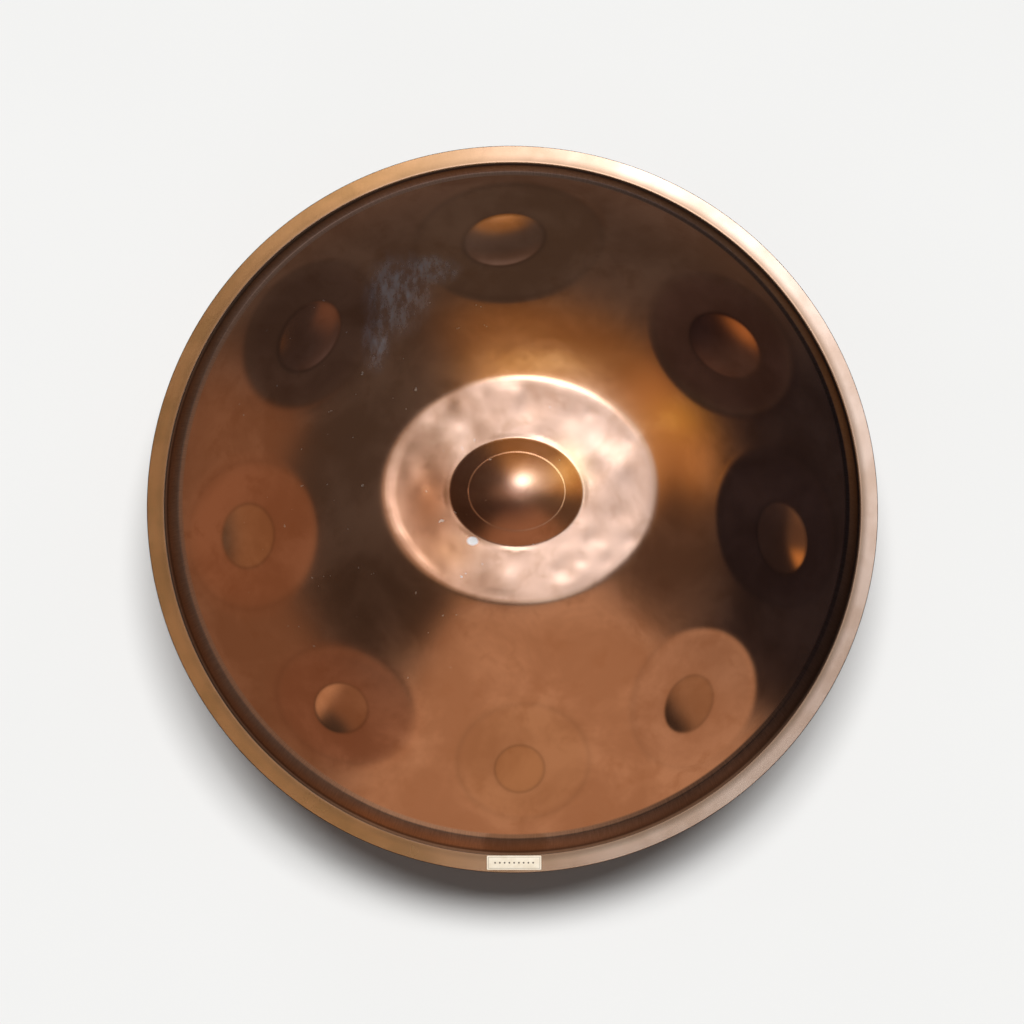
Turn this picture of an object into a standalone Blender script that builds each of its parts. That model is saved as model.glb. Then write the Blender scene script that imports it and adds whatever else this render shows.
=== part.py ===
"""A handpan: two domed steel shells glued rim to rim, with a small plate stuck on the rim.

Metres, +Z up. The instrument stands on the flat ring round its sound port, with the ding, its centre note,
on top. The origin is the middle of that resting face. The player sits at -Y, where the name plate is.
"""

import math
from collections import namedtuple

import bmesh
import bpy
from mathutils import Vector
from mathutils.geometry import delaunay_2d_cdt

# Sheet metal and the rim joint
SHEET = 0.001
RIM_RADIUS = 0.265
FLANGE_INNER_RADIUS = 0.2532
GAP = 0.0003
BEAD_THICKNESS = 0.0008
BEAD_INNER_RADIUS = 0.2540
BEAD_PROUD = 0.0004

# Side of both shells: a fillet up from the flange, a steep wall, then a knuckle into the dome
FILLET_RADIUS = 0.003
WALL_SLOPE = math.radians(64)
KNUCKLE_RADIUS = 0.007
DOME_SLOPE = math.radians(42)
DOME_EDGE_RADIUS = 0.240
DOME_SPHERE_RADIUS = DOME_EDGE_RADIUS / math.sin(DOME_SLOPE)

# Ding: a hammered plateau round a raised dome, a low cone with a rounded top and a narrow ledge round it.
# An even edge of 1 makes a flattened ellipse meet the dome all round, and 0 leaves a small step in places.
DING_CENTRE = (0.0, -0.0015)
DING_HALF_LENGTH = 0.0950
DING_HALF_WIDTH = 0.0780
DING_CURVATURE_KEPT = 0.15
DING_EVEN_EDGE = 1.0
BOSS_CENTRE = (-0.0018, -0.0030)
BOSS_HALF_LENGTH = 0.0458
BOSS_HALF_WIDTH = 0.0375
BOSS_HEIGHT = 0.0088
BOSS_ROUNDING = 0.42
BOSS_LEDGE_INSIDE = 0.72
BOSS_LEDGE_OUTSIDE = 0.734

# Tone fields: flattened ellipses, each with a concave dimple. Directions are compass bearings in degrees,
# clockwise from +Y, and a tilt turns an ellipse anticlockwise from lying along the rim.
FIELD_CURVATURE_KEPT = 0.12
FIELD_EVEN_EDGE = 0.4
ToneField = namedtuple("ToneField", "bearing distance half_length half_width tilt dimple")
Dimple = namedtuple("Dimple", "bearing distance half_length half_width tilt depth")
TONE_FIELDS = (
    ToneField(-1.7, 0.182, 0.0670, 0.0465, 6, Dimple(-2.8, 0.183, 0.0295, 0.0210, 11, 0.0046)),
    ToneField(53.5, 0.182, 0.0580, 0.0480, 9, Dimple(54.1, 0.183, 0.0280, 0.0225, 19, 0.0034)),
    ToneField(96.8, 0.186, 0.0560, 0.0445, 20, Dimple(98.9, 0.190, 0.0260, 0.0190, 19, 0.0042)),
    ToneField(138.8, 0.189, 0.0510, 0.0425, 14, Dimple(140.5, 0.190, 0.0210, 0.0160, 20, 0.0016)),
    ToneField(178.6, 0.187, 0.0460, 0.0395, 0, Dimple(179.4, 0.192, 0.0173, 0.0162, 0, 0.0016)),
    ToneField(219.1, 0.188, 0.0515, 0.0395, 14, Dimple(219.3, 0.192, 0.0190, 0.0170, 19, 0.0021)),
    ToneField(261.2, 0.188, 0.0520, 0.0470, -4, Dimple(261.2, 0.191, 0.0225, 0.0190, -6, 0.0018)),
    ToneField(307.9, 0.186, 0.0570, 0.0440, 13, Dimple(307.4, 0.185, 0.0280, 0.0200, 8, 0.0044)),
)

# Sound port under the instrument
PORT_BLEND_RADIUS = 0.086
REST_OUTER_RADIUS = 0.072
PORT_LIP_CENTRE_RADIUS = 0.0565
PORT_LIP_RADIUS = 0.008
NECK_LENGTH = 0.022
NECK_TAPER = 0.0015

# Name plate and its adhesive pad
PLATE_LENGTH = 0.039
PLATE_WIDTH = 0.0102
PLATE_THICKNESS = 0.0005
PLATE_CENTRE_RADIUS = 0.258
PLATE_CORNER_RADIUS = 0.0008
PAD_THICKNESS = 0.0004
PAD_MARGIN = 0.0008

# Facets
RIM_SEGMENTS = 72
FILLET_STEPS = 2
KNUCKLE_STEPS = 2
SOFT_CREASE = 0.07


def wall_corner(slope_radius, start_slope, end_slope):
    """Width and height of an arc of this radius that turns from one slope to another."""
    width = slope_radius * abs(math.sin(end_slope) - math.sin(start_slope))
    height = slope_radius * abs(math.cos(end_slope) - math.cos(start_slope))
    return width, height


FILLET_WIDTH, FILLET_HEIGHT = wall_corner(FILLET_RADIUS, 0, WALL_SLOPE)
KNUCKLE_WIDTH, KNUCKLE_HEIGHT = wall_corner(KNUCKLE_RADIUS, WALL_SLOPE, DOME_SLOPE)
WALL_FOOT_RADIUS = FLANGE_INNER_RADIUS - FILLET_WIDTH
WALL_TOP_RADIUS = DOME_EDGE_RADIUS + KNUCKLE_WIDTH
WALL_TOP_HEIGHT = FILLET_HEIGHT + (WALL_FOOT_RADIUS - WALL_TOP_RADIUS) * math.tan(WALL_SLOPE)
DOME_EDGE_HEIGHT = WALL_TOP_HEIGHT + KNUCKLE_HEIGHT


def dome_height(radius):
    """Height of the plain dome above the outside of its flange."""
    sphere = math.sqrt(DOME_SPHERE_RADIUS**2 - radius**2)
    return DOME_EDGE_HEIGHT + sphere - DOME_SPHERE_RADIUS * math.cos(DOME_SLOPE)


def side_outline():
    """Radius and height from the rim's edge up the side to the dome's edge."""
    points = [(RIM_RADIUS, 0.0), (FLANGE_INNER_RADIUS, 0.0)]
    for step in range(1, FILLET_STEPS + 1):
        width, height = wall_corner(FILLET_RADIUS, 0, WALL_SLOPE * step / FILLET_STEPS)
        points.append((FLANGE_INNER_RADIUS - width, height))
    for step in range(KNUCKLE_STEPS + 1):
        slope = WALL_SLOPE + (DOME_SLOPE - WALL_SLOPE) * step / KNUCKLE_STEPS
        width, height = wall_corner(KNUCKLE_RADIUS, WALL_SLOPE, slope)
        points.append((WALL_TOP_RADIUS - width, WALL_TOP_HEIGHT + height))
    return points


def port_outline():
    """Radius and height from the dome to the end of the neck, heights measured away from the flange."""
    blend_slope = math.asin(PORT_BLEND_RADIUS / DOME_SPHERE_RADIUS)
    blend_arc = (PORT_BLEND_RADIUS - REST_OUTER_RADIUS) / math.sin(blend_slope)
    rest = dome_height(PORT_BLEND_RADIUS) + blend_arc * (1 - math.cos(blend_slope))
    half_slope = blend_slope / 2
    points = [(PORT_BLEND_RADIUS, dome_height(PORT_BLEND_RADIUS))]
    points.append(
        (
            REST_OUTER_RADIUS + blend_arc * math.sin(half_slope),
            rest - blend_arc * (1 - math.cos(half_slope)),
        )
    )
    points.append((REST_OUTER_RADIUS, rest))
    for turn in (0, 30, 60, 90):
        angle = math.radians(turn)
        radius = PORT_LIP_CENTRE_RADIUS - PORT_LIP_RADIUS * math.sin(angle)
        points.append((radius, rest - PORT_LIP_RADIUS * (1 - math.cos(angle))))
    neck_radius = PORT_LIP_CENTRE_RADIUS - PORT_LIP_RADIUS + NECK_TAPER
    points.append((neck_radius, rest - NECK_LENGTH))
    return points


BOTTOM_DEPTH = max(height for radius, height in port_outline())
BOTTOM_FLANGE_Z = BOTTOM_DEPTH
BEAD_Z = BOTTOM_FLANGE_Z + SHEET + GAP
TOP_FLANGE_Z = BEAD_Z + BEAD_THICKNESS + GAP + SHEET


class Ellipse:
    """An ellipse in plan, with its long side along its own U axis."""

    def __init__(self, centre, half_length, half_width, turn):
        self.centre = Vector(centre)
        self.half_length = half_length
        self.half_width = half_width
        self.along = Vector((math.cos(turn), math.sin(turn)))
        self.across = Vector((-math.sin(turn), math.cos(turn)))

    def share(self, spot):
        """0 at the centre, 1 on the outline."""
        offset = spot - self.centre
        return math.hypot(
            offset.dot(self.along) / self.half_length, offset.dot(self.across) / self.half_width
        )

    def ring(self, share, count):
        """Evenly stepped points on a scaled copy of the outline."""
        points = []
        for step in range(count):
            angle = math.tau * step / count
            along = self.along * self.half_length * math.cos(angle)
            across = self.across * self.half_width * math.sin(angle)
            points.append(self.centre + (along + across) * share)
        return points


def at_bearing(shape):
    """The ellipse of a tone field or a dimple, from its bearing, distance and tilt."""
    bearing = math.radians(shape.bearing)
    centre = (shape.distance * math.sin(bearing), shape.distance * math.cos(bearing))
    return Ellipse(centre, shape.half_length, shape.half_width, math.radians(shape.tilt) - bearing)


DING = Ellipse(DING_CENTRE, DING_HALF_LENGTH, DING_HALF_WIDTH, 0)
BOSS = Ellipse(BOSS_CENTRE, BOSS_HALF_LENGTH, BOSS_HALF_WIDTH, 0)
FIELDS = [at_bearing(field) for field in TONE_FIELDS]
DIMPLES = [at_bearing(field.dimple) for field in TONE_FIELDS]


def fade(share):
    """1 inside an outline and 0 outside, with a soft crease across it."""
    step = min(max((1 + SOFT_CREASE - share) / (2 * SOFT_CREASE), 0), 1)
    return step * step * (3 - 2 * step)


def flattening(outline, curvature_kept, even_edge, spot):
    """How far a flattened ellipse lies below the plain dome at a spot."""
    share = outline.share(spot)
    weight = fade(share)
    if weight == 0:
        return 0.0
    centre_height = dome_height(outline.centre.length)
    gradient = -outline.centre / math.sqrt(DOME_SPHERE_RADIUS**2 - outline.centre.length_squared)

    def below_tangent(place):
        return centre_height + gradient.dot(place - outline.centre) - dome_height(place.length)

    sagitta = sum(below_tangent(place) for place in outline.ring(1, 4)) / 4
    stepped = sagitta - below_tangent(spot)
    even = sagitta * (1 - share**2)
    return weight * (1 - curvature_kept) * (stepped * (1 - even_edge) + even * even_edge)


def boss_height(spot):
    """Rise of the ding's dome over its plateau."""
    share = BOSS.share(spot)
    if share >= 1:
        return 0.0
    sloping_share = min(share, BOSS_LEDGE_INSIDE) + max(share - BOSS_LEDGE_OUTSIDE, 0)
    foot = math.hypot(1 - BOSS_LEDGE_OUTSIDE + BOSS_LEDGE_INSIDE, BOSS_ROUNDING)
    cone = foot - math.hypot(sloping_share, BOSS_ROUNDING)
    return BOSS_HEIGHT * cone / (foot - BOSS_ROUNDING)


def playing_surface(spot):
    """Outside of the top shell above its flange, at a plan position inside the dome's edge."""
    height = dome_height(spot.length)
    height -= flattening(DING, DING_CURVATURE_KEPT, DING_EVEN_EDGE, spot)
    height += boss_height(spot)
    point = Vector((spot.x, spot.y, height))
    for outline, dimple, field in zip(FIELDS, DIMPLES, TONE_FIELDS):
        point.z -= flattening(outline, FIELD_CURVATURE_KEPT, FIELD_EVEN_EDGE, spot)
        share = dimple.share(spot)
        if share < 1:
            slope = outline.centre / DOME_SPHERE_RADIUS
            normal = Vector((slope.x, slope.y, math.sqrt(1 - slope.length_squared)))
            point -= normal * field.dimple.depth * (1 - share**2)
    return point


def circle(radius, count):
    """Evenly stepped plan points on a circle about the axis."""
    return Ellipse((0, 0), radius, radius, 0).ring(1, count)


def clear_of_fields(spot, margin):
    """True where a plan point is outside every pressed outline by this share."""
    return all(outline.share(spot) > 1 + margin for outline in [DING, *FIELDS])


def top_shell_rings():
    """Plan rings for the playing surface, outermost first; each is a closed crease in the mesh."""
    rings = [circle(radius, RIM_SEGMENTS) for radius, height in side_outline()]
    for outline in FIELDS:
        rings += [outline.ring(1 + SOFT_CREASE, 28), outline.ring(1 - SOFT_CREASE, 28)]
    for dimple in DIMPLES:
        rings += [dimple.ring(1, 24), dimple.ring(0.66, 16), dimple.ring(0.33, 8)]
    rings += [DING.ring(1 + SOFT_CREASE, 36), DING.ring(1 - SOFT_CREASE, 36), DING.ring(0.72, 28)]
    rings += [BOSS.ring(1, 36), BOSS.ring(BOSS_LEDGE_OUTSIDE, 32), BOSS.ring(BOSS_LEDGE_INSIDE, 32)]
    rings += [BOSS.ring(0.48, 24), BOSS.ring(0.3, 16), BOSS.ring(0.15, 8)]
    return rings


def top_shell_loose_points():
    """Plan points between the rings."""
    points = [Vector(BOSS_CENTRE)] + [dimple.centre for dimple in DIMPLES]
    for radius, count in ((0.229, 60), (0.208, 48), (0.165, 32), (0.140, 32), (0.116, 32)):
        points += [spot for spot in circle(radius, count) if clear_of_fields(spot, 0.12)]
    return points


def top_shell_mesh():
    """The playing surface as one open sheet: the rings joined in plan, then lifted to their heights."""
    points = []
    edges = []
    for ring in top_shell_rings():
        first = len(points)
        points += ring
        edges += [(first + step, first + (step + 1) % len(ring)) for step in range(len(ring))]
    points += top_shell_loose_points()
    side_heights = {round(radius, 6): height for radius, height in side_outline()}
    plan, _, faces, _, _, _ = delaunay_2d_cdt(points, edges, [], 0, 1e-7)
    mesh = bpy.data.meshes.new("top_shell")
    lifted = []
    for spot in plan:
        height = side_heights.get(round(spot.length, 6))
        point = playing_surface(spot) if height is None else Vector((spot.x, spot.y, height))
        lifted.append(point + Vector((0, 0, TOP_FLANGE_Z)))
    mesh.from_pydata(lifted, [], faces)
    return mesh


def outline_mesh(name, outline, closed):
    """A profile in the XZ plane, ready for a Screw modifier."""
    count = len(outline)
    edges = [(step, (step + 1) % count) for step in range(count if closed else count - 1)]
    mesh = bpy.data.meshes.new(name)
    mesh.from_pydata([(radius, 0, height) for radius, height in outline], edges, [])
    return mesh


def bottom_shell_outline():
    """The outside of the bottom shell, from its flange down and round into the neck."""
    outline = side_outline()
    for radius in (0.218, 0.192, 0.163, 0.132, 0.108):
        outline.append((radius, dome_height(radius)))
    outline += port_outline()
    return [(radius, BOTTOM_FLANGE_Z - height) for radius, height in outline]


def bead_outline():
    """Section of the adhesive bead, with a rounded outer edge."""
    half = BEAD_THICKNESS / 2
    shoulder = RIM_RADIUS + BEAD_PROUD - half
    centre = BEAD_Z + half
    points = [(BEAD_INNER_RADIUS, BEAD_Z + BEAD_THICKNESS)]
    for turn in (90, 45, 0, -45, -90):
        angle = math.radians(turn)
        points.append((shoulder + half * math.cos(angle), centre + half * math.sin(angle)))
    points.append((BEAD_INNER_RADIUS, BEAD_Z))
    return points


def add_object(name, mesh, material):
    """Link a mesh to the scene as a smooth-shaded object with one material."""
    mesh.materials.append(material)
    mesh.shade_smooth()
    item = bpy.data.objects.new(name, mesh)
    bpy.context.scene.collection.objects.link(item)
    return item


def spin(item):
    """Turn a profile once round the Z axis."""
    screw = item.modifiers.new("turn", "SCREW")
    screw.axis = "Z"
    screw.steps = RIM_SEGMENTS
    screw.render_steps = RIM_SEGMENTS
    screw.use_merge_vertices = True
    screw.merge_threshold = 0.00001
    screw.use_smooth_shade = True


def thicken(item):
    """Give a sheet its thickness, on the side that faces the cavity."""
    solidify = item.modifiers.new("sheet", "SOLIDIFY")
    solidify.thickness = SHEET
    solidify.offset = -1
    solidify.use_even_offset = True


def make_material(name, colour, roughness, metallic):
    """A Principled material with one colour."""
    material = bpy.data.materials.new(name)
    material.use_nodes = True
    shader = material.node_tree.nodes["Principled BSDF"]
    shader.inputs["Base Color"].default_value = (*colour, 1)
    shader.inputs["Roughness"].default_value = roughness
    shader.inputs["Metallic"].default_value = metallic
    return material


def make_top_shell():
    """The playing side, all one sheet: flange, wall, dome, ding and tone fields."""
    material = make_material("top_steel", (0.58, 0.33, 0.20), 0.24, 1)
    thicken(add_object("top_shell", top_shell_mesh(), material))


def make_bottom_shell():
    """The underside: flange, wall, dome, resting ring and the neck of the sound port."""
    material = make_material("bottom_steel", (0.55, 0.31, 0.19), 0.24, 1)
    mesh = outline_mesh("bottom_shell", bottom_shell_outline(), closed=False)
    item = add_object("bottom_shell", mesh, material)
    spin(item)
    thicken(item)


def make_bead():
    """The glue line between the two flanges."""
    material = make_material("adhesive", (0.03, 0.025, 0.02), 0.55, 0)
    mesh = outline_mesh("rim_adhesive_bead", bead_outline(), closed=True)
    spin(add_object("rim_adhesive_bead", mesh, material))


def make_slab(name, length, width, thickness, base_z, material):
    """A flat rectangle with rounded upright corners, lying on the flange at the player's side."""
    slab = bmesh.new()
    bmesh.ops.create_cube(slab, size=1)
    bmesh.ops.scale(slab, vec=(length, width, thickness), verts=slab.verts)
    uprights = [edge for edge in slab.edges if abs((edge.verts[0].co - edge.verts[1].co).z) > thickness / 2]
    bmesh.ops.bevel(
        slab, geom=uprights, offset=PLATE_CORNER_RADIUS, segments=3, profile=0.5, affect="EDGES"
    )
    mesh = bpy.data.meshes.new(name)
    slab.to_mesh(mesh)
    slab.free()
    item = add_object(name, mesh, material)
    mesh.set_sharp_from_angle(angle=math.radians(40))
    item.location = (0, -PLATE_CENTRE_RADIUS, base_z + thickness / 2)


def make_name_plate():
    """The blank name plate and the pad that holds it to the flange."""
    pad_z = TOP_FLANGE_Z + GAP
    plate_z = pad_z + PAD_THICKNESS + GAP
    pad_material = make_material("pad", (0.75, 0.70, 0.60), 0.60, 0)
    plate_material = make_material("plate", (0.90, 0.82, 0.66), 0.45, 0)
    pad_length = PLATE_LENGTH - 2 * PAD_MARGIN
    pad_width = PLATE_WIDTH - 2 * PAD_MARGIN
    make_slab("plate_adhesive_pad", pad_length, pad_width, PAD_THICKNESS, pad_z, pad_material)
    make_slab("name_plate", PLATE_LENGTH, PLATE_WIDTH, PLATE_THICKNESS, plate_z, plate_material)


def clear_scene():
    """Remove what the file opened with."""
    for item in list(bpy.data.objects):
        bpy.data.objects.remove(item, do_unlink=True)


clear_scene()
make_top_shell()
make_bottom_shell()
make_bead()
make_name_plate()
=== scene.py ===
"""Looks for a handpan: two fine steel shells, a hammered ding, dimpled tone fields and a glued rim.

Metres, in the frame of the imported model. The player sits at -Y, and bearings are clockwise from +Y.
"""

import math
from collections import namedtuple

import bpy
import numpy as np
from mathutils import Matrix, Vector
from mathutils.geometry import delaunay_2d_cdt


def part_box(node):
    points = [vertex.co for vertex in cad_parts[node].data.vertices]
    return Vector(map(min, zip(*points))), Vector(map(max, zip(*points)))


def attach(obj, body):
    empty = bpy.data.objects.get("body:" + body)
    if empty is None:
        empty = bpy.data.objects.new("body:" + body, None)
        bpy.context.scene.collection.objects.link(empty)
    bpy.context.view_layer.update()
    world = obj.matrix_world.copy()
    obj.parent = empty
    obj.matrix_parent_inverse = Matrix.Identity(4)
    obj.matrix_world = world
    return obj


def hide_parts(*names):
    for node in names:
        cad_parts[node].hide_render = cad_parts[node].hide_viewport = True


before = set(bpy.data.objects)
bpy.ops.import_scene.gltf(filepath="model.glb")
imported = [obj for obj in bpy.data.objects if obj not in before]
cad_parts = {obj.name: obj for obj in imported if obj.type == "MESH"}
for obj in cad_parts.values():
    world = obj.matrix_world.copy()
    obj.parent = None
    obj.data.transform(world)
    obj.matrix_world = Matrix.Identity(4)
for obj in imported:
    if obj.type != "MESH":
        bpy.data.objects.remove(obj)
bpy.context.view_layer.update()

# Sheet metal and the heights of the two flanges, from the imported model
SHEET = 0.001
TOP_FLANGE_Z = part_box("top_shell")[0].z + SHEET
BOTTOM_FLANGE_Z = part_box("bottom_shell")[1].z - SHEET

# Side of both shells: flange, fillet, steep wall, knuckle
RIM_RADIUS = 0.265
FLANGE_INNER_RADIUS = 0.2532
FLANGE_DROOP = 0.0006
FILLET_RADIUS = 0.003
WALL_SLOPE = math.radians(64)
KNUCKLE_RADIUS = 0.007
DOME_SLOPE = math.radians(42)
DOME_EDGE_RADIUS = 0.240
DOME_SPHERE_RADIUS = DOME_EDGE_RADIUS / math.sin(DOME_SLOPE)

# Ding: a hammered plateau round a low cone with a rounded top and a narrow ledge
DING_CENTRE = (0.0, -0.0015)
DING_HALF_LENGTH = 0.0950
DING_HALF_WIDTH = 0.0780
DING_CURVATURE_KEPT = 0.15
DING_CREASE = 0.11
DING_EDGE_SOFTNESS = 0.032
BOSS_CENTRE = (-0.0018, -0.0030)
BOSS_HALF_LENGTH = 0.0458
BOSS_HALF_WIDTH = 0.0375
BOSS_LEDGE_INSIDE = 0.72
BOSS_LEDGE_OUTSIDE = 0.734
BOSS_HEIGHT = 0.0088
BOSS_ROUNDING = 0.55
BOSS_FOOT_SOFTNESS = 0.012

# Tone fields and their dimples: bearings in degrees, tilts anticlockwise from lying along the rim,
# share of the dome's curvature kept, and half width of the crease as a share of the field's radius
FIELD_EVEN_EDGE = 0.4
FIELD_EDGE_SOFTNESS = 0.045
DIMPLE_EDGE_SOFTNESS = 0.06
ToneField = namedtuple("ToneField", "bearing distance half_length half_width tilt kept crease dimple")
Dimple = namedtuple("Dimple", "bearing distance half_length half_width tilt depth")
TONE_FIELDS = (
    ToneField(-1.7, 0.182, 0.0670, 0.0465, 6, 0.12, 0.11,
              Dimple(-2.8, 0.183, 0.0295, 0.0210, 11, 0.0046)),
    ToneField(53.5, 0.182, 0.0580, 0.0480, 9, 0.12, 0.10,
              Dimple(54.1, 0.183, 0.0280, 0.0225, 19, 0.0034)),
    ToneField(96.8, 0.186, 0.0560, 0.0445, 20, 0.12, 0.11,
              Dimple(98.9, 0.190, 0.0260, 0.0190, 19, 0.0042)),
    ToneField(138.8, 0.189, 0.0510, 0.0425, 14, 0.14, 0.11,
              Dimple(140.5, 0.190, 0.0210, 0.0160, 20, 0.0016)),
    ToneField(178.6, 0.187, 0.0460, 0.0395, 0, 0.16, 0.14,
              Dimple(179.4, 0.192, 0.0173, 0.0162, 0, 0.0016)),
    ToneField(219.1, 0.190, 0.0505, 0.0380, 14, 0.50, 0.20,
              Dimple(219.3, 0.1935, 0.0190, 0.0170, 19, 0.0021)),
    ToneField(261.2, 0.188, 0.0520, 0.0470, -4, 0.18, 0.17,
              Dimple(261.2, 0.191, 0.0225, 0.0190, -6, 0.0018)),
    ToneField(307.9, 0.186, 0.0570, 0.0440, 13, 0.12, 0.13,
              Dimple(307.4, 0.185, 0.0280, 0.0200, 8, 0.0044)),
)

# Sound port under the instrument
PORT_BLEND_RADIUS = 0.086
REST_OUTER_RADIUS = 0.072
PORT_LIP_CENTRE_RADIUS = 0.0565
PORT_LIP_RADIUS = 0.008
NECK_LENGTH = 0.022
NECK_TAPER = 0.0015

# Signs of use: places and half sizes of the rubbed patches between two fields, of the area with small
# chips and of the chip beside the ding's dome; then of the painted shade that darkens the wall beside the
# plate
SCUFFS = (
    ((-0.084, 0.140), (0.020, 0.027)),
    ((-0.099, 0.106), (0.009, 0.020)),
    ((-0.060, 0.158), (0.016, 0.010)),
)
CHIPPED_AREA = ((-0.09, 0.02), (0.11, 0.15))
DING_CHIP = ((-0.032, -0.037), (0.0036, 0.0028))
PLATE_SIDE_SHADE = ((0.0, -0.244), (0.023, 0.012))
# Width of the darker band on the flange beside the wall
FLANGE_DARK_BAND_WIDTH = 0.0062

# Glue line and name plate
BEAD_INNER_RADIUS = 0.2540
PLATE_CORNER_RADIUS = 0.0008
PLATE_BORDER = (0.0010, 0.0013)
PLATE_MARK_SPACING = 0.0034
PLATE_MARK_RADIUS = 0.00062
# Inset and share of the height of each layer, from the bottom up. The pad reaches past its own height
# to touch the flange and the plate.
PLATE_LAYERS = ((0.0, 0.0), (0.0, 0.55), (0.00006, 0.80), (0.00018, 0.95), (0.00034, 1.0))
PAD_LAYERS = ((0.00008, -0.7), (0.0, -0.3), (0.0, 1.3), (0.00008, 1.7))

# Studio: the camera's place from the rim's centre, and each sun's name, strength, spread in degrees,
# elevation and bearing
CAMERA_FROM_RIM = (-0.066, -0.218, 2.0)
CAMERA_LENS = 97.6
CAMERA_SHIFT = (-0.002, -0.0078)
SUNS = (("key_left", 1.70, 17, 71, -24), ("key_right", 1.70, 17, 71, 24), ("fill", 0.30, 170, 90, 0))
FLOOR_HALF_SIZE = 6.0
# Cards that the steel reflects, later ones over earlier ones: the side that bearings are counted from,
# their start, end and softness, the same for the lean from the zenith, and the colour
CARDS = (
    # right: the darkest side
    ("back", (52.0, 127.0, 12.0), (54.0, 150.0, 8.0), (0.030, 0.028, 0.036)),
    ("back", (76.0, 127.0, 8.0), (14.0, 54.0, 8.0), (0.125, 0.092, 0.075)),
    # left: a dim warm wall
    ("front", (30.0, 122.0, 10.0), (57.0, 93.0, 4.0), (0.30, 0.185, 0.125)),
    ("front", (20.0, 80.0, 10.0), (7.0, 52.0, 6.0), (0.066, 0.055, 0.050)),
    # front: the copper card
    ("front", (-53.0, 32.0, 4.0), (19.0, 93.0, 5.0), (0.63, 0.44, 0.315)),
    # back: golden falloff round the softbox, and a dim card low down
    ("back", (-17.0, 76.0, 10.0), (10.0, 54.0, 6.0), (0.36, 0.21, 0.085)),
    ("back", (42.0, 82.0, 7.0), (29.0, 52.0, 5.0), (0.74, 0.43, 0.165)),
    ("back", (-12.0, 72.0, 8.0), (10.0, 38.0, 6.0), (0.88, 0.58, 0.22)),
    ("back", (-50.0, 35.0, 15.0), (104.0, 150.0, 8.0), (0.27, 0.24, 0.24)),
)
# The overhead softbox: its dim surround, main panel, brighter far side, a small bright corner and the
# lamp behind it. Centre and half size in sines of the angle from the zenith, softness and colour.
SOFTBOX = (
    ((-0.10, 0.05), (0.25, 0.22), 0.30, (0.46, 0.36, 0.27)),
    ((0.05, 0.06), (0.18, 0.17), 0.14, (1.20, 1.12, 1.02)),
    ((0.22, 0.26), (0.26, 0.24), 0.12, (1.14, 1.24, 1.34)),
    ((0.14, -0.115), (0.075, 0.055), 0.35, (1.35, 1.62, 1.75)),
    ((0.13, 0.33), (0.14, 0.12), 0.55, (5.8, 6.1, 6.2)),
)

# Mesh density
AROUND = 360
COARSE_STEP = 0.0034
FINE_STEP = 0.0017
SLOPE_STEP = 0.00002
EDGE_ROUNDING = 0.0002


def arc_size(radius, start_slope, end_slope):
    """Width and height of an arc that turns from one slope to another."""
    width = radius * abs(math.sin(end_slope) - math.sin(start_slope))
    height = radius * abs(math.cos(end_slope) - math.cos(start_slope))
    return width, height


FILLET_WIDTH, FILLET_HEIGHT = arc_size(FILLET_RADIUS, 0, WALL_SLOPE)
KNUCKLE_WIDTH, KNUCKLE_HEIGHT = arc_size(KNUCKLE_RADIUS, WALL_SLOPE, DOME_SLOPE)
WALL_FOOT_RADIUS = FLANGE_INNER_RADIUS - FILLET_WIDTH
WALL_TOP_RADIUS = DOME_EDGE_RADIUS + KNUCKLE_WIDTH
WALL_TOP_HEIGHT = FILLET_HEIGHT + (WALL_FOOT_RADIUS - WALL_TOP_RADIUS) * math.tan(WALL_SLOPE)
DOME_EDGE_HEIGHT = WALL_TOP_HEIGHT + KNUCKLE_HEIGHT


def dome_height(radius):
    """Height of the plain dome above the outside of its flange."""
    sphere = np.sqrt(DOME_SPHERE_RADIUS**2 - np.square(radius))
    return DOME_EDGE_HEIGHT + sphere - DOME_SPHERE_RADIUS * math.cos(DOME_SLOPE)


def shell_height(radius):
    """Height of the plain shell above the outside of its flange, from the axis to the rim."""
    from_flange = np.clip(FLANGE_INNER_RADIUS - radius, 0, FILLET_WIDTH)
    fillet = FILLET_RADIUS - np.sqrt(FILLET_RADIUS**2 - from_flange**2)
    up_wall = np.clip(WALL_FOOT_RADIUS - radius, 0, WALL_FOOT_RADIUS - WALL_TOP_RADIUS)
    wall = up_wall * math.tan(WALL_SLOPE)
    turned = np.clip(WALL_TOP_RADIUS - radius, 0, KNUCKLE_WIDTH) / KNUCKLE_RADIUS
    slope = np.arcsin(math.sin(WALL_SLOPE) - turned)
    knuckle = KNUCKLE_RADIUS * (np.cos(slope) - math.cos(WALL_SLOPE))
    dome = dome_height(np.minimum(radius, DOME_EDGE_RADIUS)) - DOME_EDGE_HEIGHT
    return fillet + wall + knuckle + dome


class Ellipse:
    """An ellipse in plan, with its long side along its own U axis."""

    def __init__(self, centre, half_length, half_width, turn):
        self.centre = np.array(centre, dtype=float)
        self.half_length = half_length
        self.half_width = half_width
        self.along = np.array((math.cos(turn), math.sin(turn)))
        self.across = np.array((-math.sin(turn), math.cos(turn)))

    def share(self, spots):
        """0 at the centre, 1 on the outline."""
        offsets = spots - self.centre
        along, across = offsets @ self.along, offsets @ self.across
        return np.hypot(along / self.half_length, across / self.half_width)

    def ring(self, share, step):
        """Points on a scaled copy of the outline, about this far apart."""
        length = math.tau * share * math.sqrt((self.half_length**2 + self.half_width**2) / 2)
        angles = np.linspace(0, math.tau, max(6, round(length / step)), endpoint=False)
        along = np.outer(np.cos(angles), self.along) * self.half_length
        across = np.outer(np.sin(angles), self.across) * self.half_width
        return self.centre + (along + across) * share


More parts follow.
